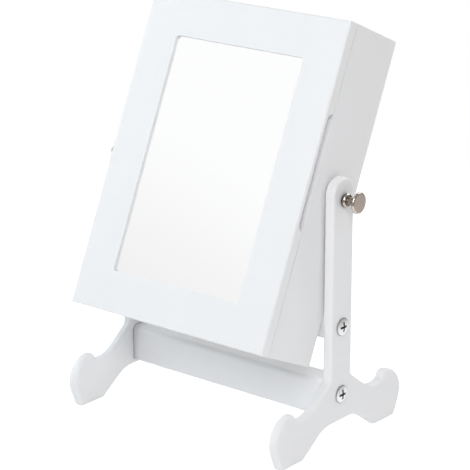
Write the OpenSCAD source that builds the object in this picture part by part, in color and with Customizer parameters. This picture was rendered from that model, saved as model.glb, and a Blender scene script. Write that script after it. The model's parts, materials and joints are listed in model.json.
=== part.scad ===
// Tabletop cheval mirror: a small jewellery cabinet with a mirrored door, hung
// between two scroll-footed side frames. Millimetres, +Z up, front faces -Y.
// The origin is on the floor, under the middle of the whole object.
// The cabinet is drawn upright round its pivot and then leaned back to rest.

/* [Cabinet] */
// Width of the cabinet and of its door
cabinet_w = 200; // [180:1:240]
// Height of the cabinet and of its door
cabinet_h = 267; // [255:1:300]
// Depth of the cabinet body behind the door
body_depth = 57.4; // [52:0.1:70]
// Thickness of the side, top and bottom boards
board_t = 9; // [8:0.5:12]
// Thickness of the back panel
back_t = 3; // [2:0.5:5]
// Width of the rabbet that holds the back panel
back_rabbet = 5; // [4.5:0.5:6]
// Depth of the back panel's face below the boards' rear edges
back_inset = 0.3; // [0:0.1:1]
// Edge rounding round the rear of the cabinet
body_ease = 1; // [0.5:0.1:2]
// Thickness of the velvet-covered lining boards
lining_t = 1.2; // [0.8:0.1:2]

/* [Door] */
// Thickness of the door
door_t = 9.5; // [8.5:0.1:12]
// Gap between the door and the cabinet's front edges
door_gap = 0.5; // [0.4:0.1:1]
// Edge rounding round the door's front
door_ease = 1.5; // [0.5:0.1:2.5]
// Width of the mirror opening
window_w = 130; // [110:1:150]
// Height of the mirror opening
window_h = 198.5; // [180:0.5:210]
// Corner radius of the mirror opening
window_r = 3; // [1:0.5:6]
// How far the opening sits below the door's middle
window_drop = 0.5; // [0:0.1:3]
// Depth of the glass below the door's face
mirror_recess = 2.3; // [1.5:0.1:3]
// Thickness of the mirror glass
mirror_t = 3; // [2:0.1:3.4]
// Bearing of the glass behind the opening's edge
mirror_lap = 3.5; // [2:0.5:5]
// Thickness of the board behind the glass
backing_t = 2.6; // [2:0.1:3]
// Bearing of that board behind the glass's edge
backing_lap = 5; // [4.5:0.5:6]

/* [Finger pull] */
// Length of the scoop in the rear of the door's free edge
pull_len = 93.5; // [60:0.5:120]
// Height of the scoop's middle above the door's middle
pull_mid = 13.75; // [-20:0.25:30]
// Door thickness left in front of the scoop
pull_lip = 3.4; // [2.5:0.1:5]
// Depth of the scoop from the door's free edge
pull_in = 7; // [5:0.5:8]
// Corner radius at the scoop's two ends
pull_r = 5.5; // [3:0.5:5.9]

/* [Stand] */
// Lean from upright where the cabinet's back meets the upper rail, in degrees
rest_tilt = 24.25; // [21:0.05:30]
// Distance of the pivot behind the cabinet's front edge
pivot_depth = 27.6; // [24:0.1:32]
// Room between the swinging cabinet and the lower rail
swing_clear = 9.2; // [5:0.1:30]
// Gap between the cabinet and each side frame
side_gap = 2; // [1.2:0.1:4]
// Thickness of the side frames
frame_t = 9; // [8:0.5:15]
// Rounding of the side frames' long edges
frame_ease = 2.8; // [1:0.1:3]
// Width of the posts
post_w = 27.8; // [25:0.1:32]
// Height of the posts above the pivot
post_over = 18; // [16:0.5:22]
// Thickness of both rails, front to back
rail_t = 22; // [20:0.5:25]
// Rounding of the rails' long edges, but for the lower rail's half-round top
rail_ease = 3; // [1:0.5:4]
// Height of the lower rail's section
lower_rail_h = 34; // [32:0.1:42]
// Height of the lower rail's underside above the floor
lower_rail_z = 22.6; // [20:0.1:30]
// Height of the upper rail's section
upper_rail_h = 19.4; // [17:0.1:26]

/* [Feet] */
// Height where the foot's top edge meets the post
ankle_z = 51.5; // [48:0.5:60]
// Length of that sloping edge, seen level
ankle_run = 29.6; // [26:0.2:36]
// Slope of that edge, in degrees
ankle_slope = 37; // [33:1:38]
// Radius where that edge runs into the post
ankle_r = 6; // [3.1:0.1:10]
// Radius of the valley before the scroll
valley_r = 28; // [20:0.5:32]
// Rise of the hollow behind the scroll, in degrees
hollow_slope = 15; // [8:1:20]
// Radius of the hollow behind the scroll
hollow_r = 7; // [5:0.5:9]
// Steepness of the scroll's inner face, in degrees
nose_slope = 75; // [65:1:80]
// Radius of the scroll's inner shoulder
nose_r = 3.4; // [3.1:0.1:5]
// Radius of the scroll's outer curve
toe_r = 18.5; // [15:0.5:20]
// Steepness of the toe below the scroll, in degrees
toe_slope = 71; // [60:1:72]
// Length of each flat pad on the floor
pad_len = 28.6; // [20:0.2:34]
// Corner radius at the pads' ends
pad_r = 3.1; // [3.1:0.1:6]
// Height of the arch between the pads
arch_h = 18.7; // [14:0.1:19]
// Slope of the arch's flanks, in degrees
arch_slope = 34; // [30:1:40]
// Radius of the arch's shoulders
arch_r = 28.6; // [10:0.2:30]

/* [Hardware] */
// Diameter of the knobs' screws and of the rail bolts
bolt_d = 6; // [5:1:8]
// Diameter of the rail bolts' heads
bolt_head_d = 15; // [12:0.5:17]
// Height of the rail bolts' heads
bolt_head_h = 2.2; // [1.8:0.1:3]
// Height of the lower bolts above the lower rail's middle
lower_bolt_up = 2.4; // [0:0.1:4]
// Length of the rail bolts below the head
bolt_len = 36; // [32:1:42]
// Diameter of the barrel nuts
nut_d = 10; // [9:0.5:12]
// Diameter of the rails' dowels
dowel_d = 5; // [4:0.5:6]
// Diameter of the knobs' collars
collar_d = 11.8; // [10:0.2:14]
// Diameter of the knobs' discs
knob_d = 17.6; // [15:0.1:22]
// How far the knobs stand out from the side frames
knob_out = 15.2; // [11:0.2:18]
// Diameter of the threaded inserts
insert_d = 9; // [8.5:0.5:11]
// Height of the hinge leaves
leaf_h = 28; // [24:1:34]
// Reach of the hinge leaves into the cabinet's edge
leaf_w = 8; // [7.5:0.5:9]
// Thickness of the hinge leaves
leaf_t = 0.8; // [0.6:0.1:1]
// Radius of the hinge knuckles
knuckle_r = 1.9; // [1.6:0.1:2.4]
// Diameter of the hinge pins
pin_d = 1.6; // [1.2:0.1:2]
// Distance of each hinge from the cabinet's middle
hinge_z = 90; // [70:1:105]

/* [Inside] */
// Depth of the necklace rail, front to back
hook_rail_d = 10; // [8:1:14]
// Height of the necklace rail
hook_rail_h = 12; // [10:1:16]
// Number of necklace hooks
hook_count = 5; // [4:1:7]
// Radius of each hook's bend
hook_r = 5; // [4:0.1:6]
// Thickness of each hook's wire
hook_wire = 1.8; // [1.4:0.1:2.2]
// Height of the ring shelf's top below the cabinet's middle
shelf_drop = 46; // [30:1:60]
// Thickness of the ring shelf
shelf_t = 6; // [4:0.5:9]
// Distance of the shelf and the lips behind the cabinet's front edges
shelf_back = 11; // [10.6:0.2:14]
// Thickness of the shelf's and the bin's front lips
lip_t = 5; // [4:0.5:7]
// Height of the ring shelf's lip above the shelf
shelf_lip_h = 9; // [6:0.5:14]
// Height of the bin's lip
bin_lip_h = 20; // [12:1:30]
// Number of ring rolls
roll_count = 3; // [2:1:4]
// Thickness of the bin's dividers
divider_t = 3; // [2:0.5:5]
// Length of the earring bars on the door
ear_len = 120; // [90:1:128]
// Depth of the earring bars
ear_deep = 9; // [6:0.5:9.5]
// Height of the earring bars' flanges
ear_h = 9; // [8:0.5:12]
// Sheet thickness of the earring bars
ear_t = 1.2; // [1:0.1:1.6]
// Distance between the earring bars
ear_pitch = 36; // [26:1:40]
// Length of the magnet catch
catch_len = 30; // [26:1:36]

/* [Clearances] */
// Radial clearance of the pins and screws that turn
run_fit = 0.06; // [0.03:0.01:0.09]
// Clearance of what is fitted and stays
fit = 0.05; // [0.03:0.01:0.1]
// Clearance between faces that move past each other
slip = 0.3; // [0.2:0.05:0.5]

/* [Hidden] */
$fn = 48;
white = [0.93, 0.93, 0.94];
nickel = [0.72, 0.70, 0.68];
brass = [0.80, 0.66, 0.38];
velvet = [0.83, 0.80, 0.77];

// Places in the upright cabinet, from its pivot
half_w = cabinet_w / 2;
half_h = cabinet_h / 2;
inner_w = cabinet_w - 2 * board_t;
inner_h = cabinet_h - 2 * board_t;
body_front = -pivot_depth;
body_back = body_depth - pivot_depth;
door_rear = body_front - door_gap;
door_front = door_rear - door_t;
seam_y = (body_front + door_rear) / 2;
panel_front = body_back - back_inset - back_t;
lining_front = panel_front - lining_t;

// Heights of the stand
lower_rail_top = lower_rail_z + lower_rail_h;
swing_r = norm([half_h, max(-door_front, body_back)]);
pivot_z = lower_rail_top + swing_clear + swing_r;
post_top = pivot_z + post_over;
frame_in = half_w + side_gap;
frame_out = frame_in + frame_t;

// The cabinet's back leans on the upper rail's rounded front edge, slip away from it
stop_reach = body_back + rail_ease + slip + (rail_t / 2 - rail_ease) * cos(rest_tilt);
upper_rail_top = pivot_z - stop_reach / sin(rest_tilt) + rail_ease;
upper_rail_z = upper_rail_top - upper_rail_h;
bolt_heights = [lower_rail_z + lower_rail_h / 2 + lower_bolt_up, upper_rail_z + upper_rail_h / 2];

// Feet: tangent lengths place each corner so that neighbouring arcs meet
function tangent(r, turn) = r * tan(turn / 2);
straight = 0.4;
toe_turn = 180 - toe_slope;
hollow_len = tangent(valley_r, ankle_slope + hollow_slope)
    + tangent(hollow_r, nose_slope - hollow_slope) + straight;
nose_len = tangent(hollow_r, nose_slope - hollow_slope) + tangent(nose_r, nose_slope) + straight;
valley = [post_w / 2 + ankle_run, ankle_z - ankle_run * tan(ankle_slope)];
hollow = valley + hollow_len * [cos(hollow_slope), sin(hollow_slope)];
nose = hollow + nose_len * [cos(nose_slope), sin(nose_slope)];
toe = nose + [tangent(nose_r, nose_slope) + tangent(toe_r, toe_turn) + straight / 8, 0];
pad_out = toe[0] - toe[1] / tan(toe_slope);
pad_in = pad_out - pad_len;
foot_half = toe[0] - tangent(toe_r, toe_turn) + toe_r;

// Half of the side frame's outline: corners [y, z, radius], up the rear side
half_outline = [
    [pad_in - arch_h / tan(arch_slope), arch_h, arch_r],
    [pad_in, 0, pad_r],
    [pad_out, 0, pad_r],
    [toe[0], toe[1], toe_r],
    [nose[0], nose[1], nose_r],
    [hollow[0], hollow[1], hollow_r],
    [valley[0], valley[1], valley_r],
    [post_w / 2, ankle_z, ankle_r],
    [post_w / 2, post_top, post_w / 2 - 0.01]
];
last = len(half_outline) - 1;
outline = concat(half_outline, [
    for (i = [last:-1:0]) [-half_outline[i][0], half_outline[i][1], half_outline[i][2]]
]);

// The whole object's middle, front to back, lies on the origin
front_reach = door_ease + (-door_front - door_ease) * cos(rest_tilt)
    + (half_h - door_ease) * sin(rest_tilt);
rear_reach = max(foot_half, body_ease + (body_back - body_ease) * cos(rest_tilt)
    + (half_h - body_ease) * sin(rest_tilt));
centre_y = (max(front_reach, foot_half) - rear_reach) / 2;

// ---- Outlines with rounded corners ----

// Degrees times millimetres of radius in each step along an arc
arc_step = 115;

function unit(v) = v / norm(v);
function left_of(v) = [-v[1], v[0]];
function xy(c) = [c[0], c[1]];
function heading(c, i) = unit(xy(c[(i + 1) % len(c)]) - xy(c[i]));
function turn_at(a, b) = atan2(a[0] * b[1] - a[1] * b[0], a * b);

// Corner i of a counter-clockwise outline as an arc, the whole outline moved in by d
function corner_arc(c, i, d) =
    let (
        before = heading(c, (i + len(c) - 1) % len(c)),
        after = heading(c, i),
        turn = turn_at(before, after),
        side = sign(turn),
        r = c[i][2],
        tip = xy(c[i]) - before * tangent(r, abs(turn)),
        centre = tip + left_of(before) * r * side,
        start = atan2(before[1], before[0]) - 90 * side,
        steps = max(4, ceil(abs(turn) * r / arc_step))
    )
    [for (k = [0:steps]) centre + (r - d * side)
        * [cos(start + turn * k / steps), sin(start + turn * k / steps)]];

function outline_ring(c, d) = [for (i = [0:len(c) - 1]) each corner_arc(c, i, d)];

// Plate of thickness t along X with outline c in YZ, its long edges rounded by r
module eased_plate(c, t, r) {
    steps = 5;
    rings = concat(
        [for (k = [0:steps]) let (a = 90 * k / steps) [r - r * cos(a), r - r * sin(a)]],
        [for (k = [steps:-1:0]) let (a = 90 * k / steps) [t - r + r * cos(a), r - r * sin(a)]]
    );
    n = len(outline_ring(c, 0));
    points = [for (g = rings, p = outline_ring(c, g[1])) [g[0], p[0], p[1]]];
    near = [[for (i = [0:n - 1]) i]];
    far = [[for (i = [n - 1:-1:0]) (len(rings) - 1) * n + i]];
    edge = [for (k = [0:len(rings) - 2], i = [0:n - 1])
        [k * n + i, k * n + n + i, k * n + n + (i + 1) % n, k * n + (i + 1) % n]];
    polyhedron(points, concat(near, far, edge));
}

// ---- Shapes ----

// Rectangle w by h with corners of radius r
module rounded_rect(w, h, r) {
    square([w - 2 * r, h], center = true);
    square([w, h - 2 * r], center = true);
    for (x = [-1, 1], y = [-1, 1]) {
        translate([x * (w / 2 - r), y * (h / 2 - r)]) circle(r);
    }
}

// Section w by h with a half-round top, its lower corners rounded by r
module crowned_section(w, h, r) {
    translate([0, (h - w) / 2]) circle(w / 2);
    translate([-w / 2, r - h / 2]) square([w, h - w / 2 - r]);
    translate([r - w / 2, -h / 2]) square([w - 2 * r, 2 * r]);
    for (x = [-1, 1]) translate([x * (w / 2 - r), r - h / 2]) circle(r);
}

// Section w wide from y0 to y1, its two corners at y0 rounded by r
module eased_section(w, y0, y1, r) {
    translate([-w / 2, y0 + r]) square([w, y1 - y0 - r]);
    translate([-w / 2 + r, y0]) square([w - 2 * r, 2 * r]);
    for (x = [-1, 1]) translate([x * (w / 2 - r), y0 + r]) circle(r);
}

// Slab w by h from y0 to y1, the edges round its face at y0 rounded by r
module eased_slab(w, h, y0, y1, r) {
    intersection() {
        linear_extrude(h, center = true) eased_section(w, y0, y1, r);
        rotate([0, -90, 0]) linear_extrude(w, center = true) eased_section(h, y0, y1, r);
    }
}

// Box between two corners
module span(a, b) {
    translate(a) cube(b - a);
}

// Cylinder from x0 to x1 at y, z
module x_rod(x0, x1, r, y = 0, z = 0) {
    translate([x0, y, z]) rotate([0, 90, 0]) cylinder(r = r, h = x1 - x0);
}

// Countersunk screw along -Z, its head's top at z = 0; grow makes its hole
module flat_screw(head_r, shank_r, length, grow = 0) {
    sink = head_r - shank_r;
    difference() {
        union() {
            translate([0, 0, -sink])
                cylinder(r1 = shank_r + grow, r2 = head_r + grow, h = sink + grow);
            translate([0, 0, -length - grow])
                cylinder(r = shank_r + grow, h = length + grow - sink);
        }
        if (grow == 0) {
            for (a = [0, 90]) rotate([0, 0, a]) {
                translate([-head_r * 0.6, -recess_w / 2, -recess_deep])
                    cube([head_r * 1.2, recess_w, head_r]);
            }
        }
    }
}

// The upright cabinet, leaned back to rest at its pivot
module leaned() {
    translate([0, centre_y, pivot_z]) rotate([-rest_tilt, 0, 0]) children();
}

// The stand, moved so that the whole object is centred
module stood() {
    translate([0, centre_y, 0]) children();
}

module both_sides() {
    children();
    mirror([1, 0, 0]) children();
}

// ---- Stand ----

dowel_in_frame = 6;
dowel_spread = [18, 14];
nut_depth = 20;
nut_len = 14;
nut_slot = 1.2;
nut_wall = 1;
dowel_len = dowel_in_frame + nut_depth - nut_d / 2 - nut_wall;
head_rim = 0.8;
cross_span = 8.4;
cross_w = 1.9;
cross_deep = 1.7;
washer_d = 16;

// Dowel places at the rails' ends, as [y, z]
dowel_places = [
    [0, bolt_heights[0] - dowel_spread[0] / 2],
    [0, bolt_heights[0] + dowel_spread[0] / 2],
    [-dowel_spread[1] / 2, bolt_heights[1]],
    [dowel_spread[1] / 2, bolt_heights[1]]
];

module side_frame() {
    color(white) stood() difference() {
        translate([frame_in, 0, 0]) eased_plate(outline, frame_t, frame_ease);
        x_rod(frame_in - 1, frame_out + 1, bolt_d / 2 + run_fit, 0, pivot_z);
        for (z = bolt_heights) x_rod(frame_in - 1, frame_out + 1, bolt_d / 2 + fit, 0, z);
        for (p = dowel_places) {
            x_rod(frame_in - 1, frame_in + dowel_in_frame + fit, dowel_d / 2 + fit, p[0], p[1]);
        }
    }
}

module left_frame() {
    mirror([1, 0, 0]) side_frame();
}

module right_frame() {
    side_frame();
}

// Rail i of the two, from frame to frame, with the section given, h high from z0
module rail(i, z0, h) {
    color(white) stood() difference() {
        translate([-frame_in, 0, z0 + h / 2]) rotate([90, 0, 90])
            linear_extrude(2 * frame_in) children();
        both_sides() {
            x_rod(frame_out - bolt_len - 1, frame_in + 1, bolt_d / 2 + fit, 0, bolt_heights[i]);
            translate([frame_in - nut_depth, -nut_len / 2 - fit, bolt_heights[i]]) rotate([-90, 0, 0])
                cylinder(d = nut_d + 2 * fit, h = rail_t);
            for (k = [0, 1]) {
                x_rod(frame_in + dowel_in_frame - dowel_len - fit, frame_in + 1, dowel_d / 2 + fit,
                    dowel_places[2 * i + k][0], dowel_places[2 * i + k][1]);
            }
        }
    }
}

module lower_rail() {
    rail(0, lower_rail_z, lower_rail_h) crowned_section(rail_t, lower_rail_h, rail_ease);
}

module upper_rail() {
    rail(1, upper_rail_z, upper_rail_h) rounded_rect(rail_t, upper_rail_h, rail_ease);
}

// Connector bolts: low domed heads with a cross recess
module rail_bolts() {
    rise = bolt_head_h - head_rim;
    dome_r = (pow(bolt_head_d / 2, 2) + rise * rise) / (2 * rise);
    color(nickel) stood() both_sides() for (z = bolt_heights) {
        translate([frame_out, 0, z]) rotate([0, 90, 0]) difference() {
            union() {
                intersection() {
                    cylinder(d = bolt_head_d, h = bolt_head_h);
                    translate([0, 0, bolt_head_h - dome_r]) sphere(dome_r, $fn = 96);
                }
                translate([0, 0, -bolt_len]) cylinder(d = bolt_d, h = bolt_len + head_rim);
            }
            for (a = [0, 90]) rotate([0, 0, a]) {
                translate([-cross_span / 2, -cross_w / 2, bolt_head_h - cross_deep])
                    cube([cross_span, cross_w, bolt_head_h]);
            }
        }
    }
}

// Barrel nuts across the rails, their slotted ends to the rear
module barrel_nuts() {
    color(nickel) stood() both_sides() for (z = bolt_heights) translate([frame_in - nut_depth, 0, z]) {
        difference() {
            rotate([90, 0, 0]) cylinder(d = nut_d, h = nut_len, center = true);
            x_rod(-nut_d, nut_d, bolt_d / 2 + fit);
            translate([-nut_d / 2, nut_len / 2 - nut_slot, -nut_slot / 2]) cube([nut_d, nut_len, nut_slot]);
        }
    }
}

module rail_dowels() {
    color("burlywood") stood() both_sides() for (p = dowel_places) {
        x_rod(frame_in + dowel_in_frame - dowel_len, frame_in + dowel_in_frame, dowel_d / 2, p[0], p[1]);
    }
}

// Washers that space the cabinet from the frames
module pivot_washers() {
    color("gainsboro") stood() both_sides() difference() {
        x_rod(half_w + slip, frame_in, washer_d / 2, 0, pivot_z);
        x_rod(half_w, frame_in + 1, bolt_d / 2 + slip, 0, pivot_z);
    }
}

// ---- Cabinet body ----

screw_r = 1;
screw_head_r = 2.1;
screw_len = 9;
screw_inset = 12;
recess_w = 0.4;
recess_deep = 0.5;

module body_shell() {
    mirror([0, 1, 0]) eased_slab(cabinet_w, cabinet_h, -body_back, -body_front, body_ease);
}

// Space of the back panel and its rabbet, grown by g
module back_space(g) {
    span([-inner_w / 2 - back_rabbet - g, panel_front, -inner_h / 2 - back_rabbet - g],
        [inner_w / 2 + back_rabbet + g, body_back + 1, inner_h / 2 + back_rabbet + g]);
}

// Back panel screws, clear of the lines where the upper rail can touch the panel
back_screw_places = [
    for (x = [-1, 1], z = [-1, 0, 1])
        [x * (inner_w / 2 + back_rabbet / 2), z * (inner_h / 2 - screw_inset)],
    for (z = [-1, 1]) [0, z * (inner_h / 2 + back_rabbet / 2)]
];

module back_screw_set(grow = 0) {
    for (p = back_screw_places)
        translate([p[0], body_back - back_inset, p[1]]) rotate([-90, 0, 0])
            flat_screw(screw_head_r, screw_r, screw_len, grow);
}

// A board of the body between corners a and b, less the back panel's space
module body_board(a, b) {
    color(white) leaned() difference() {
        intersection() {
            body_shell();
            span(a, b);
        }
        back_space(0);
        back_screw_set(fit);
        children();
    }
}

// Seats of the hinge leaves behind (way 1) or before (way -1) the seam
module leaf_seat(way) {
    y = seam_y + way * (door_gap / 2 + leaf_seat_d);
    for (z = [-hinge_z, hinge_z]) {
        span([-half_w - 1, min(y, seam_y), z - leaf_h / 2 - fit],
            [-half_w + leaf_w + fit, max(y, seam_y), z + leaf_h / 2 + fit]);
    }
}

module cabinet_left() {
    body_board([-half_w, body_front, -half_h], [-inner_w / 2, body_back, half_h]) {
        leaf_seat(1);
        x_rod(-half_w - 1, half_w, insert_d / 2 + fit);
        leaf_screw_set(1, fit);
    }
}

module cabinet_right() {
    body_board([inner_w / 2, body_front, -half_h], [half_w, body_back, half_h]) {
        x_rod(0, half_w + 1, insert_d / 2 + fit);
        catch_screw_set(fit);
    }
}

module cabinet_top() {
    body_board([-inner_w / 2, body_front, inner_h / 2], [inner_w / 2, body_back, half_h]);
}

module cabinet_bottom() {
    body_board([-inner_w / 2, body_front, -half_h], [inner_w / 2, body_back, -inner_h / 2]);
}

module cabinet_back() {
    color("gainsboro") leaned() difference() {
        intersection() {
            back_space(-fit);
            span([-half_w, panel_front, -half_h], [half_w, body_back - back_inset, half_h]);
        }
        back_screw_set(fit);
    }
}

module back_screws() {
    color(nickel) leaned() back_screw_set();
}

module back_lining() {
    color(velvet) leaned() span([-inner_w / 2 + fit, lining_front, -inner_h / 2 + fit],
        [inner_w / 2 - fit, panel_front, inner_h / 2 - fit]);
}

// Threaded inserts that take the knobs' screws
module thread_inserts() {
    color(brass) leaned() both_sides() difference() {
        x_rod(inner_w / 2 + fit, half_w - fit, insert_d / 2);
        x_rod(0, half_w + 1, bolt_d / 2 + run_fit);
    }
}

// ---- Inside the cabinet ----

hook_rail_y = 6;
hook_drop = 5;
hook_turn = 200;
hook_ball = 1.5;
hook_flange = [2.4, 0.8];
shelf_front = body_front + shelf_back;

module necklace_rail_bar() {
    color(white) leaned() span([-inner_w / 2, hook_rail_y, inner_h / 2 - hook_rail_h],
        [inner_w / 2, hook_rail_y + hook_rail_d, inner_h / 2]);
}

// Cup hook: a flange, a shank, a bend towards the front and a ball end
module necklace_hook() {
    translate([0, 0, -hook_flange[1]]) cylinder(r = hook_flange[0], h = hook_flange[1]);
    translate([0, 0, -hook_drop]) cylinder(d = hook_wire, h = hook_drop);
    translate([0, -hook_r, -hook_drop]) rotate([-90, 0, 90]) {
        rotate_extrude(angle = hook_turn) {
            translate([hook_r, 0]) circle(d = hook_wire, $fn = 24);
        }
        rotate([0, 0, hook_turn]) translate([hook_r, 0, 0]) sphere(d = hook_wire * hook_ball, $fn = 24);
    }
}

module necklace_hooks() {
    pitch = inner_w / hook_count;
    color(brass) leaned() for (i = [0:hook_count - 1]) {
        translate([(i - (hook_count - 1) / 2) * pitch, hook_rail_y + hook_rail_d / 2,
            inner_h / 2 - hook_rail_h]) necklace_hook();
    }
}

module ring_shelf() {
    color(white) leaned() span([-inner_w / 2, shelf_front, -shelf_drop - shelf_t],
        [inner_w / 2, lining_front, -shelf_drop]);
}

module ring_shelf_lip() {
    color(white) leaned() span([-inner_w / 2, shelf_front, -shelf_drop],
        [inner_w / 2, shelf_front + lip_t, -shelf_drop + shelf_lip_h]);
}

// Foam rolls that grip rings between them, laid side by side behind the lip
module ring_rolls() {
    room = lining_front - shelf_front - lip_t;
    roll_r = room / roll_count / 2 - slip;
    color(velvet) leaned() for (i = [0:roll_count - 1]) {
        x_rod(-inner_w / 2 + slip, inner_w / 2 - slip, roll_r,
            shelf_front + lip_t + (i + 0.5) * room / roll_count, -shelf_drop + roll_r + fit);
    }
}

module bin_lip() {
    color(white) leaned() span([-inner_w / 2, shelf_front, -inner_h / 2],
        [inner_w / 2, shelf_front + lip_t, -inner_h / 2 + bin_lip_h]);
}

module bin_dividers() {
    color(white) leaned() for (x = [-1, 1] * inner_w / 6) {
        span([x - divider_t / 2, shelf_front + lip_t, -inner_h / 2],
            [x + divider_t / 2, lining_front, -inner_h / 2 + bin_lip_h]);
    }
}

// Velvet-covered boards on the floor of the three bins
module bin_lining() {
    edges = [-inner_w / 2, -inner_w / 6 - divider_t / 2, -inner_w / 6 + divider_t / 2,
        inner_w / 6 - divider_t / 2, inner_w / 6 + divider_t / 2, inner_w / 2];
    color(velvet) leaned() for (i = [0:2:4]) {
        span([edges[i] + fit, shelf_front + lip_t + fit, -inner_h / 2],
            [edges[i + 1] - fit, lining_front - fit, -inner_h / 2 + lining_t]);
    }
}

// ---- Magnet catch ----

catch_w = 9;
catch_deep = 12;
catch_bite = 6;
catch_end = 4;
catch_front = body_front + 1;
catch_x = inner_w / 2 - catch_w;
magnet = [5, 5, 14];
magnet_x = inner_w / 2 - catch_w / 2;
strike = [9, 0.9, 26];
strike_screw_len = 6;
small_screw_r = 0.9;

module catch_screw_set(grow = 0) {
    for (z = [-1, 1] * (catch_len / 2 - catch_end)) {
        translate([catch_x, catch_front + catch_deep / 2, pull_mid + z]) rotate([0, -90, 0])
            flat_screw(screw_head_r, screw_r, catch_w + catch_bite, grow);
    }
}

module magnet_space(grow = 0) {
    span([magnet_x - magnet[0] / 2 - grow, catch_front - grow, pull_mid - magnet[2] / 2 - grow],
        [magnet_x + magnet[0] / 2 + grow, catch_front + magnet[1] + grow,
            pull_mid + magnet[2] / 2 + grow]);
}

module magnet_catch() {
    color("whitesmoke") leaned() difference() {
        span([catch_x, catch_front, pull_mid - catch_len / 2],
            [inner_w / 2, catch_front + catch_deep, pull_mid + catch_len / 2]);
        magnet_space(fit);
        catch_screw_set(fit);
    }
}

module catch_magnet() {
    color("dimgray") leaned() magnet_space();
}

module catch_screws() {
    color(nickel) leaned() catch_screw_set();
}

// ---- Hinges ----

leaf_gap = 0.4;
leaf_seat_d = leaf_gap / 2 + leaf_t - door_gap / 2;
pin_x = -half_w - knuckle_r - slip;
knuckle_len = leaf_h / 3;
leaf_screw_len = 6.5;
pin_head = [knuckle_r - 0.4, 0.8];

// Screws of the cabinet leaves (way 1) or the door leaves (way -1)
module leaf_screw_set(way, grow = 0) {
    for (z = [-hinge_z, hinge_z], dz = [-1, 1] * leaf_h / 3) {
        translate([-half_w + leaf_w / 2 + leaf_gap, seam_y + way * leaf_gap / 2, z + dz])
            rotate([90 * way, 0, 0])
            flat_screw(leaf_t + small_screw_r, small_screw_r, leaf_screw_len, grow);
    }
}

// One knuckle between heights z0 and z1 of a hinge, less its pin's bore
module knuckle(z0, z1, bore) {
    translate([pin_x, seam_y, z0]) difference() {
        cylinder(r = knuckle_r, h = z1 - z0);
        translate([0, 0, -1]) cylinder(d = bore, h = z1 - z0 + 2);
    }
}

// Leaf plate behind (way 1) or before (way -1) the seam, from the knuckles inwards
module leaf_plate(way, z0, z1, x0) {
    y0 = seam_y + way * leaf_gap / 2;
    y1 = y0 + way * leaf_t;
    span([x0, min(y0, y1), z0], [-half_w + leaf_w, max(y0, y1), z1]);
}

module cabinet_leaves() {
    color(nickel) leaned() for (z = [-hinge_z, hinge_z]) difference() {
        union() {
            leaf_plate(1, z - leaf_h / 2, z + leaf_h / 2, pin_x + knuckle_r + slip);
            for (s = [-1, 1] * knuckle_len) translate([0, 0, s]) difference() {
                union() {
                    knuckle(z - knuckle_len / 2, z + knuckle_len / 2, pin_d / 2);
                    leaf_plate(1, z - knuckle_len / 2, z + knuckle_len / 2, pin_x);
                }
                translate([pin_x, seam_y, z - leaf_h]) cylinder(d = pin_d + 2 * fit, h = 2 * leaf_h);
            }
        }
        leaf_screw_set(1, fit);
    }
}

module door_leaves() {
    free_len = knuckle_len - slip;
    color(nickel) leaned() for (z = [-hinge_z, hinge_z]) difference() {
        union() {
            leaf_plate(-1, z - leaf_h / 2, z + leaf_h / 2, pin_x + knuckle_r + slip);
            difference() {
                union() {
                    knuckle(z - free_len / 2, z + free_len / 2, pin_d / 2);
                    leaf_plate(-1, z - free_len / 2, z + free_len / 2, pin_x);
                }
                translate([pin_x, seam_y, z - leaf_h]) cylinder(d = pin_d + 2 * run_fit, h = 2 * leaf_h);
            }
        }
        leaf_screw_set(-1, fit);
    }
}

// Pins with a flat head at both ends of each hinge
module hinge_pins() {
    color(nickel) leaned() for (z = [-hinge_z, hinge_z]) translate([pin_x, seam_y, z]) {
        cylinder(d = pin_d, h = leaf_h + pin_head[1], center = true);
        for (s = [-1, 1]) translate([0, 0, s * (leaf_h / 2 + fit + pin_head[1] / 2)]) {
            cylinder(r = pin_head[0], h = pin_head[1], center = true);
        }
    }
}

module cabinet_leaf_screws() {
    color(nickel) leaned() leaf_screw_set(1);
}

module door_leaf_screws() {
    color(nickel) leaned() leaf_screw_set(-1);
}

// ---- Door ----

glass_front = door_front + mirror_recess;
glass_rear = glass_front + mirror_t;
glass_w = window_w + 2 * mirror_lap;
glass_h = window_h + 2 * mirror_lap;
backing_w = glass_w + 2 * backing_lap;
backing_h = glass_h + 2 * backing_lap;
backing_rear = glass_rear + backing_t;
backing_bite = 3.5;

// Prism from y0 to y1 over a rectangle w by h with corners of radius r
module pane(w, h, r, y0, y1) {
    translate([0, y1, -window_drop]) rotate([90, 0, 0]) linear_extrude(y1 - y0) rounded_rect(w, h, r);
}

backing_screw_places = [
    for (x = [-1, 1], z = [-1, 0, 1])
        [x * (backing_w - backing_lap) / 2, z * (backing_h / 2 - screw_inset)],
    for (z = [-1, 1]) [0, z * (backing_h - backing_lap) / 2]
];

module backing_screw_set(grow = 0) {
    for (p = backing_screw_places)
        translate([p[0], backing_rear, p[1] - window_drop]) rotate([-90, 0, 0])
            flat_screw(screw_head_r, screw_r, backing_t + backing_bite, grow);
}

// Scoop for the fingers, open to the door's rear and free edge
module pull_scoop() {
    deep = door_t - pull_lip;
    translate([half_w - pull_in, door_rear, pull_mid]) rotate([90, 0, 90])
        linear_extrude(pull_in + 1) intersection() {
            rounded_rect(2 * deep, pull_len, pull_r);
            translate([-deep, -pull_len / 2]) square([deep + 1, pull_len]);
        }
}

module strike_screw_set(grow = 0) {
    for (z = [-1, 1] * (strike[2] / 2 - catch_end)) {
        translate([magnet_x, door_rear + strike[1], pull_mid + z]) rotate([-90, 0, 0])
            flat_screw(strike[1] + small_screw_r, small_screw_r, strike_screw_len, grow);
    }
}

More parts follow.
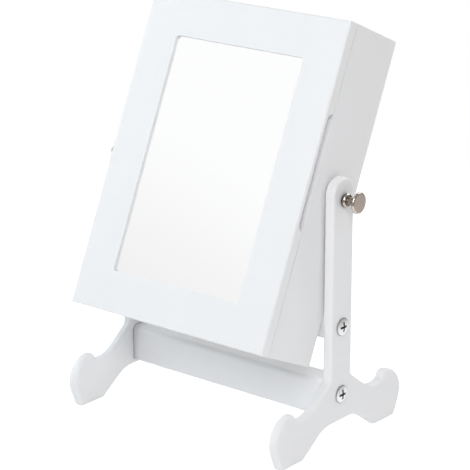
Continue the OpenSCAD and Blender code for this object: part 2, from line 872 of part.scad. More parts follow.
module door_frame() {
    color(white) leaned() difference() {
        eased_slab(cabinet_w, cabinet_h, door_front, door_rear, door_ease);
        pane(window_w, window_h, window_r, door_front - 1, door_rear);
        pane(glass_w + 2 * fit, glass_h + 2 * fit, window_r, glass_front, door_rear);
        pane(backing_w + 2 * fit, backing_h + 2 * fit, window_r, glass_rear, door_rear + 1);
        pull_scoop();
        leaf_seat(-1);
        leaf_screw_set(-1, fit);
        backing_screw_set(fit);
        strike_screw_set(fit);
    }
}

module mirror_glass() {
    color("lightsteelblue") leaned() pane(glass_w, glass_h, window_r, glass_front, glass_rear);
}

module door_backing() {
    color(velvet) leaned() difference() {
        pane(backing_w, backing_h, window_r, glass_rear, backing_rear);
        backing_screw_set(fit);
        ear_screw_set(fit);
    }
}

module backing_screws() {
    color(nickel) leaned() backing_screw_set();
}

// ---- Earring bars on the door's inside ----

ear_slot = [2, 5];
ear_slot_pitch = 8;
ear_end = 8;
ear_screw_r = 0.8;
ear_bite = 2;
ear_rows = [-0.5, 0.5, 1.5] * ear_pitch;

module ear_screw_set(grow = 0) {
    for (z = ear_rows, x = [-1, 1] * (ear_len / 2 - ear_end)) {
        translate([x, backing_rear + ear_t, z + ear_h / 2]) rotate([-90, 0, 0])
            flat_screw(ear_t + ear_screw_r, ear_screw_r, ear_t + ear_bite, grow);
    }
}

// Angle bars, the level leg cut with slots for hooks and posts
module earring_bars() {
    slots = floor((ear_len - ear_end) / ear_slot_pitch);
    color(nickel) leaned() for (z = ear_rows) difference() {
        union() {
            span([-ear_len / 2, backing_rear, z], [ear_len / 2, backing_rear + ear_t, z + ear_h]);
            span([-ear_len / 2, backing_rear, z], [ear_len / 2, backing_rear + ear_deep, z + ear_t]);
        }
        for (i = [0:slots - 1]) translate([(i - (slots - 1) / 2) * ear_slot_pitch, 0, z - 1]) {
            span([-ear_slot[0] / 2, backing_rear + ear_deep - ear_slot[1], 0],
                [ear_slot[0] / 2, backing_rear + ear_deep + 1, ear_t + 2]);
        }
        ear_screw_set(fit);
    }
}

module earring_screws() {
    color(nickel) leaned() ear_screw_set();
}

module strike_plate() {
    color(nickel) leaned() difference() {
        span([magnet_x - strike[0] / 2, door_rear, pull_mid - strike[2] / 2],
            [magnet_x + strike[0] / 2, door_rear + strike[1], pull_mid + strike[2] / 2]);
        strike_screw_set(fit);
    }
}

module strike_screws() {
    color(nickel) leaned() strike_screw_set();
}

// ---- Knobs ----

bead_len = 4.8;
neck_r = 3.2;
bevel = 1.4;
rim_land = 0.4;

// Turned section of a knob as [radius, distance from the frame]: a bead on the
// frame, a neck, a trumpet that opens to the disc's rim, and the bevelled face
function knob_section() =
    let (
        half = bead_len / 2,
        core = collar_d / 2 - half,
        disc = knob_d / 2,
        mouth = knob_out - bevel - rim_land,
        flare = [disc - neck_r, mouth - bead_len - fit]
    )
    concat(
        [[0, fit], [core, fit]],
        [for (a = [-75:15:75]) [core + half * cos(a), fit + half + half * sin(a)]],
        [for (a = [0:10:90]) [neck_r + flare[0] * (1 - cos(a)), mouth - flare[1] * (1 - sin(a))]],
        [for (a = [0:22.5:90]) [disc - bevel + bevel * cos(a), mouth + rim_land + bevel * sin(a)]],
        [[0, knob_out]]
    );

module knob() {
    color(nickel) stood() translate([frame_out, 0, pivot_z]) rotate([0, 90, 0]) {
        rotate_extrude($fn = 96) polygon(knob_section());
        translate([0, 0, -frame_t - side_gap - board_t + 1]) {
            cylinder(d = bolt_d, h = frame_t + side_gap + board_t);
        }
    }
}

module right_knob() {
    knob();
}

module left_knob() {
    mirror([1, 0, 0]) knob();
}

left_frame();
right_frame();
lower_rail();
upper_rail();
rail_bolts();
barrel_nuts();
rail_dowels();
pivot_washers();
cabinet_left();
cabinet_right();
cabinet_top();
cabinet_bottom();
cabinet_back();
back_screws();
back_lining();
thread_inserts();
necklace_rail_bar();
necklace_hooks();
ring_shelf();
ring_shelf_lip();
ring_rolls();
bin_lip();
bin_dividers();
bin_lining();
magnet_catch();
catch_magnet();
catch_screws();
cabinet_leaves();
hinge_pins();
cabinet_leaf_screws();
door_frame();
mirror_glass();
door_backing();
backing_screws();
earring_bars();
earring_screws();
strike_plate();
strike_screws();
door_leaves();
door_leaf_screws();
left_knob();
right_knob();
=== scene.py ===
"""Looks of the tabletop cheval mirror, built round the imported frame. Metres, +Z up, front at -Y."""

import json
import math

import bmesh
import bpy
from mathutils import Matrix, Vector

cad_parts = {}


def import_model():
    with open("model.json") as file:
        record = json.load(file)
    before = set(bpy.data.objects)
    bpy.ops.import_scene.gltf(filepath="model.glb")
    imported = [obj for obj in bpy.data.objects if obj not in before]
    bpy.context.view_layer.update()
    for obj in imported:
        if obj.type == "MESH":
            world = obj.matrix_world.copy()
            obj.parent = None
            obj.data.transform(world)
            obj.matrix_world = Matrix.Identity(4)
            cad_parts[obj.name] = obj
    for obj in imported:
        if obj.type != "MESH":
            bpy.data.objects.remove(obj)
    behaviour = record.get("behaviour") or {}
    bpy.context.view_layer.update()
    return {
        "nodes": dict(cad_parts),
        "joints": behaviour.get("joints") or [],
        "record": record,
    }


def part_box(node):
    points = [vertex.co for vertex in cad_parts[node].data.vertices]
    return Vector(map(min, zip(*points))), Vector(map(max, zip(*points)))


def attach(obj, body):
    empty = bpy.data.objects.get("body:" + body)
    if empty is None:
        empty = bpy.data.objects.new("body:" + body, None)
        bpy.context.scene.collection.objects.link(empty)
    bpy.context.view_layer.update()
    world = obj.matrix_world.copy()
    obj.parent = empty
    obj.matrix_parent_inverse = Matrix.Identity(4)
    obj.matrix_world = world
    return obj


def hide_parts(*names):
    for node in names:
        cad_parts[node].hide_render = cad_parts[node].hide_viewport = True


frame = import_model()
nodes = frame["nodes"]
joints = {j["name"]: j for j in frame["joints"]}
MM = 0.001

# ---- Places from the frame ----

pivot = Vector(joints["cabinet_tilt"]["pos_m"])
centre_y = pivot.y
# The door's hinge axis leans with the cabinet, and LEAN leads from the upright cabinet to it
hinge_axis = Vector(joints["door_swing"]["axis"])
tilt = math.atan2(-hinge_axis.y, -hinge_axis.z)
LEAN = Matrix.Translation(pivot) @ Matrix.Rotation(-tilt, 4, "X")
# The left side frame is the right one's mirror image
frame_lo, frame_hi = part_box("right_frame")


def linear(srgb):
    """An sRGB colour as the linear one that the shaders take."""
    return tuple(c / 12.92 if c <= 0.04045 else ((c + 0.055) / 1.055) ** 2.4 for c in srgb)


# ---- Materials ----

# Noise textures seldom leave this range
NOISE_LOW, NOISE_HIGH = 0.3, 0.7


class Nodes:
    """A node tree to fill; a value whose name starts with a capital goes to that socket."""

    def __init__(self, owner):
        owner.use_nodes = True
        self.tree = owner.node_tree
        self.tree.nodes.clear()

    def add(self, kind, **values):
        node = self.tree.nodes.new(kind)
        for key, value in values.items():
            if key[0].isupper():
                node.inputs[key.replace("_", " ")].default_value = value
            else:
                setattr(node, key, value)
        return node

    def link(self, source, target):
        self.tree.links.new(source, target)


def graded(tree, source, low, high, dark, light):
    """A colour ramp from dark at low to light at high."""
    ramp = tree.add("ShaderNodeValToRGB")
    ramp.color_ramp.elements[0].position = low
    ramp.color_ramp.elements[1].position = high
    ramp.color_ramp.elements[0].color = (*dark, 1)
    ramp.color_ramp.elements[1].color = (*light, 1)
    tree.link(source, ramp.inputs["Fac"])
    return ramp.outputs["Color"]


def shaded(tree, source, light, shade, low=NOISE_LOW, high=NOISE_HIGH):
    """A colour that varies with a noise, from shade times light up to light."""
    return graded(tree, source, low, high, [c * shade for c in light], light)


def spanned(tree, source, low, high):
    """A noise as a number from low to high."""
    span = tree.add("ShaderNodeMapRange", From_Min=NOISE_LOW, From_Max=NOISE_HIGH,
                    To_Min=low, To_Max=high)
    tree.link(source, span.inputs["Value"])
    return span.outputs["Result"]


def surface(name, metallic=0.0, specular=0.5, coat=0.0, coat_rough=0.12, sheen=0.0):
    """A material with a Principled shader, object coordinates and nothing linked yet."""
    material = bpy.data.materials.new(name)
    tree = Nodes(material)
    out = tree.add("ShaderNodeOutputMaterial")
    shader = tree.add("ShaderNodeBsdfPrincipled", Metallic=metallic, Specular_IOR_Level=specular,
                      Coat_Weight=coat, Coat_Roughness=coat_rough,
                      Sheen_Weight=sheen, Sheen_Roughness=0.45)
    tree.link(shader.outputs["BSDF"], out.inputs["Surface"])
    where = tree.add("ShaderNodeTexCoord").outputs["Object"]
    return material, tree, shader, where


def noise(tree, where, scale, detail=3.0, rough=0.5, stretch=None):
    """Noise of that many cells per metre."""
    if stretch:
        mapping = tree.add("ShaderNodeMapping", Scale=stretch)
        tree.link(where, mapping.inputs["Vector"])
        where = mapping.outputs["Vector"]
    cells = tree.add("ShaderNodeTexNoise", Scale=scale, Detail=detail, Roughness=rough)
    tree.link(where, cells.inputs["Vector"])
    return cells.outputs["Fac"]


def bumped(tree, shader, height, distance, after=None):
    """Adds a bump of that depth in metres, on top of the bump named by after."""
    bump = tree.add("ShaderNodeBump", Strength=1.0, Distance=distance)
    tree.link(height, bump.inputs["Height"])
    if after:
        tree.link(after, bump.inputs["Normal"])
    tree.link(bump.outputs["Normal"], shader.inputs["Normal"])
    return bump.outputs["Normal"]


def multiplied(tree, a, b):
    """The product of two colours."""
    both = tree.add("ShaderNodeMix", data_type="RGBA", blend_type="MULTIPLY", Factor=1.0)
    tree.link(a, both.inputs["A"])
    tree.link(b, both.inputs["B"])
    return both.outputs["Result"]


def painted_shade_tone(tree, shade_colour, reach, deep=0.3, clear=0.88):
    """Painted shade: a tone where surfaces within reach leave less than deep of the view open, white
    above clear.
    """
    nearby = tree.add("ShaderNodeAmbientOcclusion", samples=8, Distance=reach)
    return graded(tree, nearby.outputs["AO"], deep, clear, shade_colour, (1, 1, 1))


def base_colour(tree, shader, colour, painted_shade=None):
    """Links the base colour, multiplied by painted shade in joints and necks where settings for it
    are given.
    """
    if painted_shade:
        colour = multiplied(tree, colour, painted_shade_tone(tree, **painted_shade))
    tree.link(colour, shader.inputs["Base Color"])


def paint(name, srgb, rough=(0.34, 0.44), shade=0.985, painted_shade=None):
    """Sprayed satin paint: orange peel and a faint cloudiness."""
    material, tree, shader, where = surface(name)
    clouds = noise(tree, where, 14, 4)
    base_colour(tree, shader, shaded(tree, clouds, linear(srgb), shade), painted_shade)
    tree.link(spanned(tree, noise(tree, where, 90, 4), *rough), shader.inputs["Roughness"])
    peel = bumped(tree, shader, noise(tree, where, 420, 2, 0.4), 0.00006)
    bumped(tree, shader, noise(tree, where, 2600, 2), 0.00001, after=peel)
    return material


def metal(name, srgb, rough=(0.08, 0.16), shade=0.9, painted_shade=None):
    """Plated metal with faint smears in its gloss."""
    material, tree, shader, where = surface(name, metallic=1.0)
    smears = noise(tree, where, 160, 5, 0.6)
    base_colour(tree, shader, shaded(tree, smears, linear(srgb), shade), painted_shade)
    tree.link(spanned(tree, noise(tree, where, 380, 4), *rough), shader.inputs["Roughness"])
    return material


def velvet(name, srgb, shade=0.86):
    """Short pile: fine tufts, brushed patches and a soft sheen."""
    material, tree, shader, where = surface(name, specular=0.15, sheen=0.6)
    patches = noise(tree, where, 45, 4, 0.55)
    base_colour(tree, shader, shaded(tree, patches, linear(srgb), shade, 0.32, 0.68))
    tree.link(spanned(tree, patches, 0.82, 0.95), shader.inputs["Roughness"])
    pile = bumped(tree, shader, noise(tree, where, 2400, 4, 0.7), 0.00025)
    bumped(tree, shader, patches, 0.0006, after=pile)
    return material


def moulded(name, srgb, rough=(0.38, 0.5)):
    """Moulded plastic with a fine spark-eroded skin."""
    material, tree, shader, where = surface(name)
    base_colour(tree, shader, shaded(tree, noise(tree, where, 60), linear(srgb), 0.97))
    tree.link(spanned(tree, noise(tree, where, 300), *rough), shader.inputs["Roughness"])
    bumped(tree, shader, noise(tree, where, 3500, 3), 0.00003)
    return material


def wood(name, srgb):
    """Bare turned wood with a long grain along X."""
    material, tree, shader, where = surface(name, specular=0.3)
    grain = noise(tree, where, 700, 5, 0.6, stretch=(0.06, 1, 1))
    base_colour(tree, shader, shaded(tree, grain, linear(srgb), 0.72))
    tree.link(spanned(tree, grain, 0.55, 0.7), shader.inputs["Roughness"])
    bumped(tree, shader, grain, 0.00006)
    return material


def silvered(name):
    """Mirror glass: silver behind a clear coat, almost flat."""
    material, tree, shader, where = surface(name, metallic=1.0, coat=0.3, coat_rough=0.02)
    silver = graded(tree, noise(tree, where, 6, 2), NOISE_LOW, NOISE_HIGH,
                    (0.975, 0.98, 0.98), (0.985, 0.99, 0.99))
    base_colour(tree, shader, silver)
    tree.link(spanned(tree, noise(tree, where, 40, 3), 0.012, 0.02), shader.inputs["Roughness"])
    bumped(tree, shader, noise(tree, where, 9, 1), 0.00002)
    return material


PAINT_COLOUR = (0.935, 0.935, 0.94)
WHITE = paint("white_paint", PAINT_COLOUR)
# The door's paint gets painted shade within 4 mm of nearby surfaces: the mirror opening's walls, its
# seams and the finger scoop
DOOR = paint("white_paint_door", PAINT_COLOUR, painted_shade=dict(shade_colour=(0.6, 0.625, 0.64), reach=0.004))
# The rail's paint gets painted shade within 1 mm of nearby surfaces, a dark line where it meets the
# side frames
RAIL = paint("white_paint_rail", PAINT_COLOUR, painted_shade=dict(shade_colour=(0.4, 0.4, 0.4), reach=0.001))
BACK = paint("white_back", (0.905, 0.905, 0.9), rough=(0.45, 0.55), shade=0.97)
NICKEL = metal("nickel", (0.84, 0.82, 0.80), rough=(0.18, 0.28))
BRUSHED = metal("brushed_nickel", (0.90, 0.89, 0.88), rough=(0.36, 0.44), shade=0.97)
# The turned knob gets near-black painted shade in its neck and under its trumpet, standing in for
# dark reflections there
TURNED = metal("turned_nickel", (0.76, 0.72, 0.68),
               painted_shade=dict(shade_colour=(0.03, 0.027, 0.022), reach=0.007, deep=0.6, clear=0.97))
SATIN = metal("satin_nickel", (0.735, 0.70, 0.67), rough=(0.3, 0.38), shade=0.94)
CHROME = metal("chrome", (0.86, 0.865, 0.87), rough=(0.4, 0.48), shade=0.97)
DULL = metal("dull_rim", (0.64, 0.645, 0.655), rough=(0.3, 0.4))
# Painted shade for the bolts' cross recess
RECESS_SHADE = metal("recess", (0.30, 0.30, 0.31), rough=(0.4, 0.5))
ZINC = metal("zinc", (0.70, 0.71, 0.72), rough=(0.22, 0.34))
BRASS = metal("brass", (0.86, 0.73, 0.45), rough=(0.12, 0.22))
VELVET = velvet("velvet", (0.83, 0.80, 0.77))
MIRROR = silvered("mirror")
BEECH = wood("beech", (0.80, 0.66, 0.48))
NYLON = moulded("nylon", (0.90, 0.90, 0.88))
PLASTIC = moulded("catch_plastic", (0.93, 0.93, 0.92))
MAGNET = moulded("magnet", (0.18, 0.18, 0.19), rough=(0.5, 0.7))
FINISH = {
    "white_paint": WHITE, "white_back": BACK, "nickel": NICKEL, "zinc": ZINC, "brass": BRASS,
    "velvet": VELVET, "mirror": MIRROR, "beech": BEECH, "nylon": NYLON,
    "catch_plastic": PLASTIC, "magnet": MAGNET,
}
for part in frame["record"]["subparts"]:
    node = nodes[part["node"]]
    node.data.materials.clear()
    node.data.materials.append(FINISH[part["material_slot"]])
nodes["door_frame"].data.materials[0] = DOOR
nodes["earring_bars"].data.materials[0] = BRUSHED

# ---- Mesh tools ----


def piece(name, bm, body, materials, node):
    """Turns a bmesh into a smooth piece that rides on a body and replaces a CAD node."""
    bmesh.ops.recalc_face_normals(bm, faces=bm.faces)
    mesh = bpy.data.meshes.new(name)
    bm.to_mesh(mesh)
    bm.free()
    for material in materials:
        mesh.materials.append(material)
    for face in mesh.polygons:
        face.use_smooth = True
    obj = bpy.data.objects.new(name, mesh)
    bpy.context.scene.collection.objects.link(obj)
    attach(obj, body)
    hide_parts(node)
    return obj


def loft(bm, rings):
    """Joins closed rings of equal length with quads, and caps both ends."""
    made = [[bm.verts.new(p) for p in ring] for ring in rings]
    n = len(rings[0])
    for a, b in zip(made, made[1:]):
        for i in range(n):
            bm.faces.new((a[i], a[(i + 1) % n], b[(i + 1) % n], b[i]))
    bm.faces.new(made[0][::-1])
    bm.faces.new(made[-1])


def turned(bm, profile, at, sign, segments=96):
    """Turns (radius, distance) points in millimetres round an axis along X, from the point at
    towards the side of sign."""
    angles = [math.tau * k / segments for k in range(segments)]
    loft(bm, [
        [at + MM * Vector((sign * out, radius * math.cos(a), radius * math.sin(a))) for a in angles]
        for radius, out in profile
    ])


def arc(centre, radius, start, end, steps):
    """Points on an arc, its angles in degrees, 0 along the first axis."""
    angles = (math.radians(start + (end - start) * k / steps) for k in range(steps + 1))
    return [(centre[0] + radius * math.cos(a), centre[1] + radius * math.sin(a)) for a in angles]


def local_box(name):
    """The lowest and highest corners of a CAD node in millimetres, with the cabinet upright."""
    upright = LEAN.inverted()
    points = [upright @ v.co / MM for v in nodes[name].data.vertices]
    return (Vector([min(p[i] for p in points) for i in range(3)]),
            Vector([max(p[i] for p in points) for i in range(3)]))


def edge_steps(ease, steps):
    """A quarter round edge as (height, inset) steps, from the flat face to the full outline."""
    return [(ease - ease * math.cos(a), ease - ease * math.sin(a))
            for a in (math.pi / 2 * k / steps for k in range(steps + 1))]


def tangent(r, turn):
    """The length from a corner to where an arc of radius r, turning by turn degrees, begins."""
    return r * math.tan(math.radians(turn) / 2)


def outline_ring(corners, inset, step=3.0):
    """The outline's arcs as points, the whole of it moved in by inset."""
    points = []
    n = len(corners)
    for i, (y, z, r) in enumerate(corners):
        here = Vector((y, z))
        before = (here - Vector(corners[i - 1][:2])).normalized()
        after = (Vector(corners[(i + 1) % n][:2]) - here).normalized()
        turn = math.atan2(before.x * after.y - before.y * after.x, before.dot(after))
        side = math.copysign(1, turn)
        tip = here - before * tangent(r, abs(math.degrees(turn)))
        centre = tip + Vector((-before.y, before.x)) * r * side
        start = math.atan2(before.y, before.x) - side * math.pi / 2
        steps = max(4, math.ceil(abs(math.degrees(turn)) / step))
        for k in range(steps + 1):
            a = start + turn * k / steps
            points.append(centre + (r - inset * side) * Vector((math.cos(a), math.sin(a))))
    return points


# ---- Side frames ----


def frame_outline(post_w, post_top):
    """Corners (y, z, radius) of a side frame in millimetres: the rear side from the arch up, then
    the front side down. Slopes are in degrees, and straight is what two arcs leave between them."""
    arch_h, arch_r, arch_slope = 18.7, 28.6, 34
    pad_len, pad_r = 27.7, 3.1
    toe_r, toe_slope = 20.9, 67.7
    nose_r, nose_slope = 4.3, 70.9
    hollow_r, hollow_slope = 5.6, 11.9
    valley_r = 26.8
    ankle_z, ankle_run, ankle_r, ankle_slope = 55.6, 28.27, 6, 37.7
    straight = 0.4
    # The post's top is two arcs with almost nothing between them
    top_r = post_w / 2 - 0.01

    def beyond(corner, slope, length):
        a = math.radians(slope)
        return corner[0] + length * math.cos(a), corner[1] + length * math.sin(a)

    hollow_turn = tangent(hollow_r, nose_slope - hollow_slope)
    valley = (post_w / 2 + ankle_run, ankle_z - ankle_run * math.tan(math.radians(ankle_slope)))
    hollow = beyond(valley, hollow_slope,
                    tangent(valley_r, ankle_slope + hollow_slope) + hollow_turn + straight)
    nose = beyond(hollow, nose_slope, hollow_turn + tangent(nose_r, nose_slope) + straight)
    toe = beyond(nose, 0,
                 tangent(nose_r, nose_slope) + tangent(toe_r, 180 - toe_slope) + straight / 8)
    pad_out = toe[0] - toe[1] / math.tan(math.radians(toe_slope))
    pad_in = pad_out - pad_len
    half = [
        (pad_in - arch_h / math.tan(math.radians(arch_slope)), arch_h, arch_r),
        (pad_in, 0, pad_r),
        (pad_out, 0, pad_r),
        (*toe, toe_r),
        (*nose, nose_r),
        (*hollow, hollow_r),
        (*valley, valley_r),
        (post_w / 2, ankle_z, ankle_r),
        (post_w / 2, post_top, top_r),
    ]
    return half + [(-y, z, r) for y, z, r in reversed(half)]


def side_frame(name, node, sign):
    """A side frame as one board with rounded edges, its feet a little fuller than the CAD's."""
    post_w, ease, steps, flat = 27.8, 2.8, 8, 0.25
    thick = (frame_hi.x - frame_lo.x) / MM
    corners = frame_outline(post_w, frame_hi.z / MM)
    levels = [(0, ease + flat)] + edge_steps(ease, steps)
    levels += [(thick - x, inset) for x, inset in reversed(levels)]
    rings = [
        [Vector((sign * (frame_lo.x + x * MM), centre_y + p.x * MM, p.y * MM))
         for p in outline_ring(corners, inset)]
        for x, inset in levels
    ]
    bm = bmesh.new()
    loft(bm, rings)
    piece(name, bm, "stand", [WHITE], node)


side_frame("frame_right_board", "right_frame", 1)
side_frame("frame_left_board", "left_frame", -1)

# ---- Lower rail ----


def lower_rail():
    """The lower rail as an eased board between the side frames, its top flatter than the CAD's."""
    ease, front_ease, below, steps = 3.0, 4.5, 2.5, 24
    lo, hi = [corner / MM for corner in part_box("lower_rail")]
    top = hi.z - below
    ring = outline_ring([(lo.y, lo.z, ease), (hi.y, lo.z, ease), (hi.y, top, ease),
                         (lo.y, top, front_ease)], 0, 7.5)
    bm = bmesh.new()
    loft(bm, [[MM * Vector((lo.x + (hi.x - lo.x) * k / steps, p.x, p.y)) for p in ring]
              for k in range(steps + 1)])
    piece("lower_rail_board", bm, "stand", [RAIL], "lower_rail")


lower_rail()

# ---- Rail bolts ----

HEAD_R, HEAD_H, HEAD_RIM = 7.5, 2.2, 0.8
SHANK_R, SHANK_LEN, TIP_BEVEL = 3.0, 36.0, 0.4
CROSS = dict(span=8.4, width=1.9, deep=1.7, draft=3.5)


def cross_depth(u, v):
    """Depth of the cross recess at a point of the head, with drafted walls and a deeper middle."""
    walls = []
    for along, across in ((u, v), (v, u)):
        walls.append(min(CROSS["span"] / 2 - abs(along), CROSS["width"] / 2 - abs(across)))
    inside = max(walls)
    if inside <= 0:
        return 0.0
    floor_depth = CROSS["deep"] * (1 - 0.5 * math.hypot(u, v) / (CROSS["span"] / 2))
    return min(floor_depth, inside * CROSS["draft"])


def bolt(bm, at, sign, segments=144, rings_in=46):
    """One connector bolt: shank, rolled rim and a domed head with its cross recess."""
    seat_inset, under_r, over_r, dome_inset = 0.2, 0.35, 0.3, 0.25
    rise = HEAD_H - HEAD_RIM
    dome_r = (HEAD_R ** 2 + rise ** 2) / (2 * rise)
    profile = [(SHANK_R - TIP_BEVEL, -SHANK_LEN), (SHANK_R, TIP_BEVEL - SHANK_LEN), (SHANK_R, 0),
               (HEAD_R - seat_inset, 0)]
    profile += arc((HEAD_R - under_r, under_r), under_r, -60, 0, 4)
    profile += arc((HEAD_R - over_r, HEAD_RIM - over_r), over_r, 0, 60, 4)
    # The last ring stops half a step short of the middle
    for k in range(1, rings_in + 1):
        radius = (HEAD_R - dome_inset) * (1 - k / (rings_in + 0.5))
        profile.append((radius, HEAD_H - dome_r + math.sqrt(dome_r ** 2 - radius ** 2)))
    rings = []
    for radius, out in profile:
        ring = []
        for k in range(segments):
            a = math.tau * k / segments
            u, v = radius * math.cos(a), radius * math.sin(a)
            depth = cross_depth(u, v) if out > HEAD_RIM else 0.0
            ring.append(at + MM * Vector((sign * (out - depth), u, v)))
        rings.append(ring)
    old = len(bm.faces)
    loft(bm, rings)
    bm.faces.ensure_lookup_table()
    # The cross recess is darker as painted shade, and the head's rolled rim is duller than its dome
    middle = at + MM * Vector((sign * HEAD_H, 0, 0))
    rim_wide, near = 0.7, 0.1
    for face in bm.faces[old:]:
        out = sign * (face.calc_center_median() - middle) / MM
        across = math.hypot(out.y, out.z)
        if cross_depth(out.y, out.z) > 0 and across < CROSS["span"] / 2 and -2 * HEAD_H < out.x < 0:
            face.material_index = 2
        elif across > HEAD_R - rim_wide and out.x > -HEAD_H - near:
            face.material_index = 1


def bolts():
    """Two bolts through each side frame, one into each rail."""
    lo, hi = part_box("rail_bolts")
    bm = bmesh.new()
    for sign in (-1, 1):
        for z in (lo.z + HEAD_R * MM, hi.z - HEAD_R * MM):
            bolt(bm, Vector((sign * frame_hi.x, (lo.y + hi.y) / 2, z)), sign)
    piece("rail_bolt_set", bm, "stand", [CHROME, DULL, RECESS_SHADE], "rail_bolts")


bolts()

# ---- Knobs ----


def knob(name, body, node, sign):
    """A turned clamp knob: screw, bead, neck, trumpet and disc, the disc's flat face satin."""
    shank_r, shank_len, seat = 3.0, 19.0, 0.05
    bead_r, bead_len, neck_r = 5.9, 4.8, 3.2
    disc_r, bevel, land, total = 8.8, 1.4, 0.4, 15.2
    lip, flare_steps, face_rings, near = 0.1, 28, 6, 0.001
    half = bead_len / 2
    core = bead_r - half
    mouth = total - bevel - land
    wide, long = disc_r - neck_r, mouth - bead_len - seat
    profile = [(shank_r - TIP_BEVEL, -shank_len), (shank_r, TIP_BEVEL - shank_len), (shank_r, seat),
               (core, seat)]
    profile += arc((core, seat + half), half, -80, 80, 20)
    # A quarter of an ellipse opens from the neck to the disc
    profile += [(neck_r + wide * (1 - math.cos(a)), mouth - long * (1 - math.sin(a)))
                for a in (math.pi / 2 * i / flare_steps for i in range(flare_steps + 1))]
    edge = disc_r - bevel
    profile += arc((edge, mouth + land), bevel, 0, 82, 10)
    profile += [(edge + lip, total), (edge, total)]
    profile += [(edge * (1 - i / (face_rings + 0.5)), total) for i in range(1, face_rings + 1)]
    at = Vector((sign * frame_hi.x, pivot.y, pivot.z))
    bm = bmesh.new()
    turned(bm, profile, at, sign)
    for face in bm.faces:
        out = [sign * (v.co.x - at.x) / MM for v in face.verts]
        face.material_index = 1 if min(out) > total - near else 0
    piece(name, bm, body, [TURNED, SATIN], node)


knob("knob_right_turning", "knob_right", "right_knob", 1)
knob("knob_left_turning", "knob_left", "left_knob", -1)

# ---- Velvet ----


def board_rings(lo, hi, thin, ease=0.5):
    """Rings of a board with soft edges that is thin along one axis of the upright cabinet."""
    corner, steps, arc_step = 1.2, 5, 15
    a, b = [i for i in range(3) if i != thin]
    outline = [(lo[a], lo[b], corner), (hi[a], lo[b], corner),
               (hi[a], hi[b], corner), (lo[a], hi[b], corner)]
    edge = edge_steps(ease, steps)
    thick = hi[thin] - lo[thin]
    levels = edge + [(thick - x, inset) for x, inset in reversed(edge)]
    rings = []
    for level, inset in levels:
        ring = []
        for p in outline_ring(outline, inset, arc_step):
            point = Vector((0, 0, 0))
            point[thin], point[a], point[b] = lo[thin] + level, p.x, p.y
            ring.append(LEAN @ (point * MM))
        rings.append(ring)
    return rings


def linings():
    """The velvet boards: the cabinet's back, the door's backing and one under each bin."""
    sunk, door_ease = 0.15, 0.7
    divider_t, gap = 3.0, 0.05
    lo, hi = local_box("back_lining")
    bm = bmesh.new()
    loft(bm, board_rings(lo, hi, 1))
    piece("back_lining_cloth", bm, "cabinet", [VELVET], "back_lining")
    lo, hi = local_box("door_backing")
    bm = bmesh.new()
    loft(bm, board_rings(lo, hi - Vector((0, sunk, 0)), 1, door_ease))
    piece("door_backing_cloth", bm, "door", [VELVET], "door_backing")
    lo, hi = local_box("bin_lining")
    left, right = [corner.x for corner in local_box("bin_dividers")]
    bm = bmesh.new()
    for x0, x1 in ((lo.x, left), (left + divider_t, right - divider_t), (right, hi.x)):
        loft(bm, board_rings(Vector((x0 + gap, lo.y, lo.z)), Vector((x1 - gap, hi.y, hi.z)), 2))
    piece("bin_lining_cloth", bm, "cabinet", [VELVET], "bin_lining")


linings()


def ring_roll(bm, x0, x1, y, z, radius, segments=48, steps=90):
    """One foam roll in velvet: soft ends, a faint waviness and a flat where it rests."""
    soft_len, end_girth, sway, flat_at = 2.2, 0.38, 0.012, 0.93
    rings = []
    for k in range(steps + 1):
        x = x0 + (x1 - x0) * (0.5 - 0.5 * math.cos(math.pi * k / steps))
        end = min(x - x0, x1 - x) / soft_len
        girth = math.sqrt(max(0.0, 1 - (1 - min(end, 1.0)) ** 2)) * (1 - end_girth) + end_girth
        ring = []
        for i in range(segments):
            a = math.tau * i / segments
            wave = 1 - sway - sway * math.sin(0.31 * x + 2 * a) * math.sin(0.11 * x + 1.3)
            r = radius * girth * wave
            up = max(math.sin(a) * r, -flat_at * radius)
            ring.append(LEAN @ (MM * Vector((x, y + r * math.cos(a), z + up))))
        rings.append(ring)
    loft(bm, rings)


def ring_rolls(count=3):
    """The rolls on the ring shelf, side by side from front to back."""
    lo, hi = local_box("ring_rolls")
    radius = (hi.z - lo.z) / 2
    pitch = (hi.y - lo.y - 2 * radius) / (count - 1)
    for i in range(count):
        bm = bmesh.new()
        ring_roll(bm, lo.x, hi.x, lo.y + radius + i * pitch, lo.z + radius, radius)
        roll = piece(f"ring_roll_{i + 1}", bm, "cabinet", [VELVET], "ring_rolls")


ring_rolls()

# ---- Stage, light and camera ----

LOOK_AT = Vector((0.00138, centre_y, 0.1536))
AZIMUTH, ELEVATION, DISTANCE = math.radians(39.16), math.radians(17.85), 1.7545
camera = bpy.data.objects.new("camera", bpy.data.cameras.new("camera"))
bpy.context.scene.collection.objects.link(camera)
away = Vector((math.sin(AZIMUTH) * math.cos(ELEVATION), -math.cos(AZIMUTH) * math.cos(ELEVATION),
               math.sin(ELEVATION)))
camera.location = LOOK_AT + away * DISTANCE
camera.rotation_euler = (-away).to_track_quat("-Z", "Y").to_euler()
camera.data.lens = 164.6
camera.data.sensor_width = 36
camera.data.clip_start = 0.05
bpy.context.scene.camera = camera


def lamp(name, azimuth, elevation, size, power, colour=(1, 1, 1)):
    """A square soft lamp that looks at the part; azimuth 0 is in front, 90 on the right."""
    aim, distance = Vector((0, 0, 0.15)), 2.6
    a, e = math.radians(azimuth), math.radians(elevation)
    data = bpy.data.lights.new(name, "AREA")
    data.size, data.energy, data.color = size, power, colour
    obj = bpy.data.objects.new(name, data)
    bpy.context.scene.collection.objects.link(obj)
    back = Vector((math.sin(a) * math.cos(e), -math.cos(a) * math.cos(e), math.sin(e)))
    obj.location = aim + back * distance
    obj.rotation_euler = (-back).to_track_quat("-Z", "Y").to_euler()


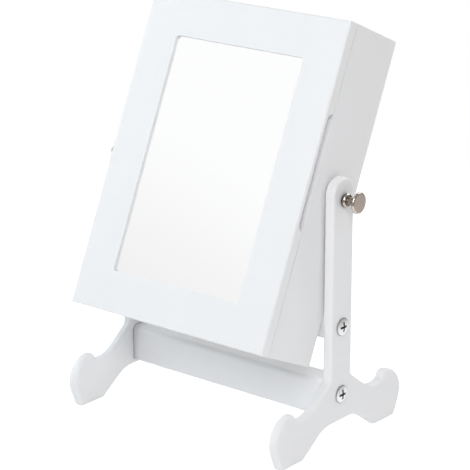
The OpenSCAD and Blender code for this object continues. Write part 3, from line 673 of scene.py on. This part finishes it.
lamp("main", azimuth=35, elevation=35, size=1.4, power=33.5)
lamp("left", azimuth=-75, elevation=20, size=2.0, power=35, colour=(0.87, 1.0, 1.07))
lamp("rear", azimuth=170, elevation=40, size=1.8, power=27)


def mixed(tree, factor, a, b):
    """Shader a where factor is 0 and b where it is 1."""
    mix = tree.add("ShaderNodeMixShader")
    tree.link(factor, mix.inputs[0])
    tree.link(a, mix.inputs[1])
    tree.link(b, mix.inputs[2])
    return mix.outputs[0]


def world():
    """Even light, with a pale background for the camera and a graded studio for gloss."""
    made = bpy.data.worlds.new("studio")
    bpy.context.scene.world = made
    tree = Nodes(made)
    out = tree.add("ShaderNodeOutputWorld")
    rays = tree.add("ShaderNodeLightPath")
    even = tree.add("ShaderNodeBackground", Color=(1, 1, 1, 1), Strength=0.31)
    pale = tree.add("ShaderNodeBackground", Strength=1.0)
    where = tree.add("ShaderNodeTexCoord").outputs["Generated"]
    # Gloss: brightest towards the left, the front and above, greyer to the rear right
    towards = tree.add("ShaderNodeVectorMath", operation="DOT_PRODUCT")
    towards.inputs[1].default_value = Vector((-0.8, -0.48, 0.36)).normalized()
    tree.link(where, towards.inputs[0])
    side = graded(tree, towards.outputs["Value"], 0.0, 0.8, (0.45, 0.44, 0.43), (1, 1, 1))
    split = tree.add("ShaderNodeSeparateXYZ")
    tree.link(where, split.inputs[0])
    # And a soft step between 17 and 22 degrees above the horizon
    height = graded(tree, split.outputs["Z"], 0.298, 0.372, (0.875, 0.872, 0.868), (1, 1, 1))
    gloss = tree.add("ShaderNodeBackground", Strength=1.0)
    tree.link(multiplied(tree, side, height), gloss.inputs["Color"])
    seen = mixed(tree, rays.outputs["Is Camera Ray"], even.outputs[0], pale.outputs[0])
    seen = mixed(tree, rays.outputs["Is Glossy Ray"], seen, gloss.outputs[0])
    seen = mixed(tree, rays.outputs["Is Transmission Ray"], seen, pale.outputs[0])
    tree.link(seen, out.inputs["Surface"])


world()


def floor():
    """A plain pale floor that shows white and keeps a soft shadow."""
    floor_half, sweep_end, studio_start = 8, 0.55, 0.8
    bm = bmesh.new()
    bmesh.ops.create_grid(bm, x_segments=2, y_segments=2, size=floor_half)
    mesh = bpy.data.meshes.new("floor")
    bm.to_mesh(mesh)
    bm.free()
    obj = bpy.data.objects.new("floor", mesh)
    bpy.context.scene.collection.objects.link(obj)
    material = bpy.data.materials.new("floor")
    tree = Nodes(material)
    out = tree.add("ShaderNodeOutputMaterial")
    rays = tree.add("ShaderNodeLightPath")
    plain = tree.add("ShaderNodeBsdfDiffuse", Color=(0.92, 0.92, 0.92, 1))
    glow = tree.add("ShaderNodeEmission", Strength=0.5)
    add = tree.add("ShaderNodeAddShader")
    tree.link(plain.outputs[0], add.inputs[0])
    tree.link(glow.outputs[0], add.inputs[1])
    # Metal mirrors a white sweep with a darker studio past its edge
    reach = tree.add("ShaderNodeVectorMath", operation="LENGTH")
    tree.link(tree.add("ShaderNodeTexCoord").outputs["Object"], reach.inputs[0])
    studio = tree.add("ShaderNodeEmission", Color=(0.52, 0.46, 0.425, 1), Strength=1.0)
    edge = tree.add("ShaderNodeMapRange", From_Min=sweep_end, From_Max=studio_start)
    tree.link(reach.outputs["Value"], edge.inputs["Value"])
    far = tree.add("ShaderNodeEmission", Strength=1.0)
    mirrored = mixed(tree, edge.outputs["Result"], add.outputs[0], studio.outputs[0])
    shown = mixed(tree, edge.outputs["Result"], add.outputs[0], far.outputs[0])
    seen = mixed(tree, rays.outputs["Is Camera Ray"], plain.outputs[0], shown)
    tree.link(mixed(tree, rays.outputs["Is Glossy Ray"], seen, mirrored), out.inputs["Surface"])
    mesh.materials.append(material)


floor()
bpy.context.scene.view_settings.view_transform = "Standard"
